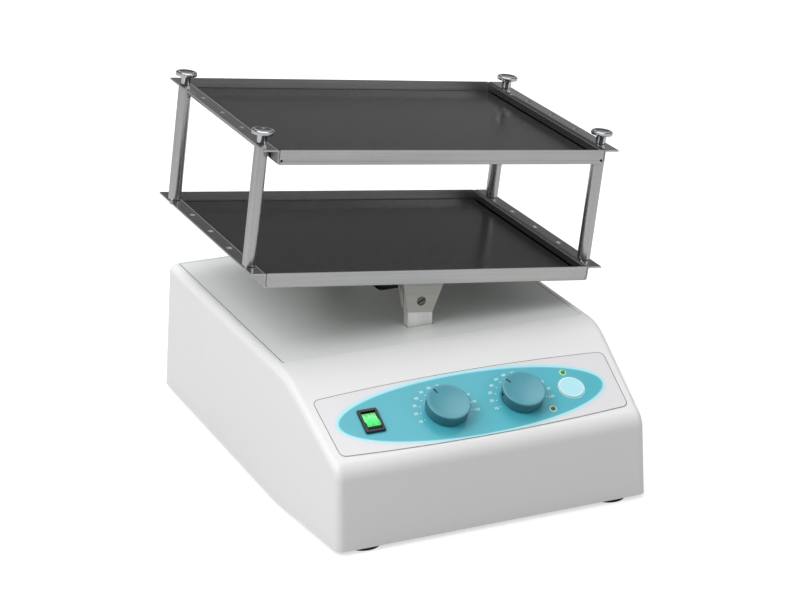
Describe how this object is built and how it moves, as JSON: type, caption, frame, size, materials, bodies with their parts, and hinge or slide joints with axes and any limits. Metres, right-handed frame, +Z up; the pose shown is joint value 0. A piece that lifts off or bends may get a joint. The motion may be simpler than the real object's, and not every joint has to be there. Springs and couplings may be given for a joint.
{
  "type": "laboratory rocker shaker",
  "caption": "Two-deck laboratory rocker: stacked steel trays tilt from side to side on pivots above a housing with a sloped control panel",
  "frame": {"origin": "on the surface it stands on, under the middle of the machine's box with the trays tilted as stored", "axes": "+Z up, -Y towards the control panel's front, +X to the right as seen from the front"},
  "size_m": [0.293, 0.3359, 0.2676],
  "materials": {
    "housing": "fine satin, moulded",
    "cover": "smooth gloss",
    "base_plate": "satin",
    "foot": "matte",
    "screw": "bright zinc",
    "post_bar": "fine brushed",
    "bush": "plain bronze",
    "bracket": "warm grey satin",
    "tray": "brushed",
    "mat": "slightly glossy",
    "tray_post": "polished",
    "thumb_screw": "polished, knurled",
    "yoke": "cut sheet",
    "crank": "turned",
    "roller": "natural nylon",
    "shaft": "ground",
    "gearbox": "cast, satin",
    "motor": "zinc plated",
    "overlay": "printed film",
    "knob": "soft satin",
    "black_plastic": "satin",
    "rocker": "lit, clear",
    "key": "smooth",
    "run_lamp": "clear lens",
    "hold_lamp": "clear lens",
    "circuit_board": "soldered",
    "potentiometer": "plated",
    "core": "laminated",
    "winding": "taped copper",
    "plate": "blank, satin"
  },
  "bodies": {
    "chassis": {"housing_shell": "housing", "top_cover": "cover", "base_plate": "base_plate", "foot_front_left": "foot", "foot_front_right": "foot", "foot_rear_left": "foot", "foot_rear_right": "foot", "foot_screws": "screw", "pivot_post_front": "post_bar", "pivot_post_rear": "post_bar", "pivot_bush_front": "bush", "pivot_bush_rear": "bush", "base_plate_screws": "screw", "gearbox": "gearbox", "motor": "motor", "motor_bracket": "base_plate", "motor_screws": "screw", "panel_overlay": "overlay", "speed_potentiometer": "potentiometer", "time_potentiometer": "potentiometer", "potentiometer_nuts": "bush", "power_switch_frame": "black_plastic", "run_lamp": "run_lamp", "hold_lamp": "hold_lamp", "control_board": "circuit_board", "board_screws": "screw", "supply_board": "circuit_board", "transformer_core": "core", "transformer_winding": "winding", "power_inlet": "black_plastic", "fuse_holder": "black_plastic", "rating_plate": "plate"},
    "platform": {"lower_tray": "tray", "upper_tray": "tray", "lower_mat": "mat", "upper_mat": "mat", "tray_post_front_left": "tray_post", "tray_post_front_right": "tray_post", "tray_post_rear_left": "tray_post", "tray_post_rear_right": "tray_post", "tray_post_screws": "screw", "pivot_bracket_front": "bracket", "pivot_bracket_rear": "bracket", "pivot_pins": "shaft", "platform_rivets": "screw", "drive_yoke": "yoke"},
    "crank": {"crank_disc": "crank", "crank_pin": "shaft", "output_shaft": "shaft"},
    "roller": {"crank_roller": "roller"},
    "speed_control": {"speed_knob": "knob", "speed_shaft": "shaft"},
    "time_control": {"time_knob": "knob", "time_shaft": "shaft"},
    "power_rocker": {"power_switch_rocker": "rocker"},
    "start_button": {"start_key": "key"},
    "thumb_front_left": {"thumb_screw_front_left": "thumb_screw"},
    "thumb_front_right": {"thumb_screw_front_right": "thumb_screw"},
    "thumb_rear_left": {"thumb_screw_rear_left": "thumb_screw"},
    "thumb_rear_right": {"thumb_screw_rear_right": "thumb_screw"}
  },
  "joints": [
    {"name": "platform_rock", "type": "hinge", "parent": "chassis", "child": "platform", "pos_m": [-0.01093, 0.0483, 0.1242], "axis": [0, 1, 0], "range_deg": [-16.2, 1.8]},
    {"name": "crank_turn", "type": "hinge", "parent": "chassis", "child": "crank", "pos_m": [0.02107, 0.0523, 0.0792], "axis": [0, 1, 0], "range_deg": [-162, 18]},
    {"name": "roller_spin", "type": "hinge", "parent": "crank", "child": "roller", "pos_m": [0.02262, 0.0483, 0.07444], "axis": [0, 1, 0], "continuous": true},
    {"name": "speed_turn", "type": "hinge", "parent": "chassis", "child": "speed_control", "pos_m": [-0.03363, -0.13139, 0.07808], "axis": [0, -0.4608, 0.8875], "range_deg": [-75, 130]},
    {"name": "time_turn", "type": "hinge", "parent": "chassis", "child": "time_control", "pos_m": [0.02497, -0.13139, 0.07808], "axis": [0, -0.4608, 0.8875], "range_deg": [-75, 130]},
    {"name": "power_rock", "type": "hinge", "parent": "chassis", "child": "power_rocker", "pos_m": [-0.09013, -0.12786, 0.07541], "axis": [1, 0, 0], "range_deg": [0, 20]},
    {"name": "start_press", "type": "slide", "parent": "chassis", "child": "start_button", "axis": [0, 0.4608, -0.8875], "range_m": [0, 0.0005], "stiffness_N_per_m": 400},
    {"name": "thumb_turn_front_left", "type": "hinge", "parent": "platform", "child": "thumb_front_left", "pos_m": [-0.12985, -0.0304, 0.25715], "axis": [0.1253, 0, 0.9921], "range_deg": [0, 720]},
    {"name": "thumb_turn_front_right", "type": "hinge", "parent": "platform", "child": "thumb_front_right", "pos_m": [0.13733, -0.0304, 0.2234], "axis": [0.1253, 0, 0.9921], "range_deg": [0, 720]},
    {"name": "thumb_turn_rear_left", "type": "hinge", "parent": "platform", "child": "thumb_rear_left", "pos_m": [-0.12985, 0.127, 0.25715], "axis": [0.1253, 0, 0.9921], "range_deg": [0, 720]},
    {"name": "thumb_turn_rear_right", "type": "hinge", "parent": "platform", "child": "thumb_rear_right", "pos_m": [0.13733, 0.127, 0.2234], "axis": [0.1253, 0, 0.9921], "range_deg": [0, 720]}
  ],
  "couplings": [
    {"joint": "crank_turn", "follows": "platform_rock", "ratio": 10}
  ]
}
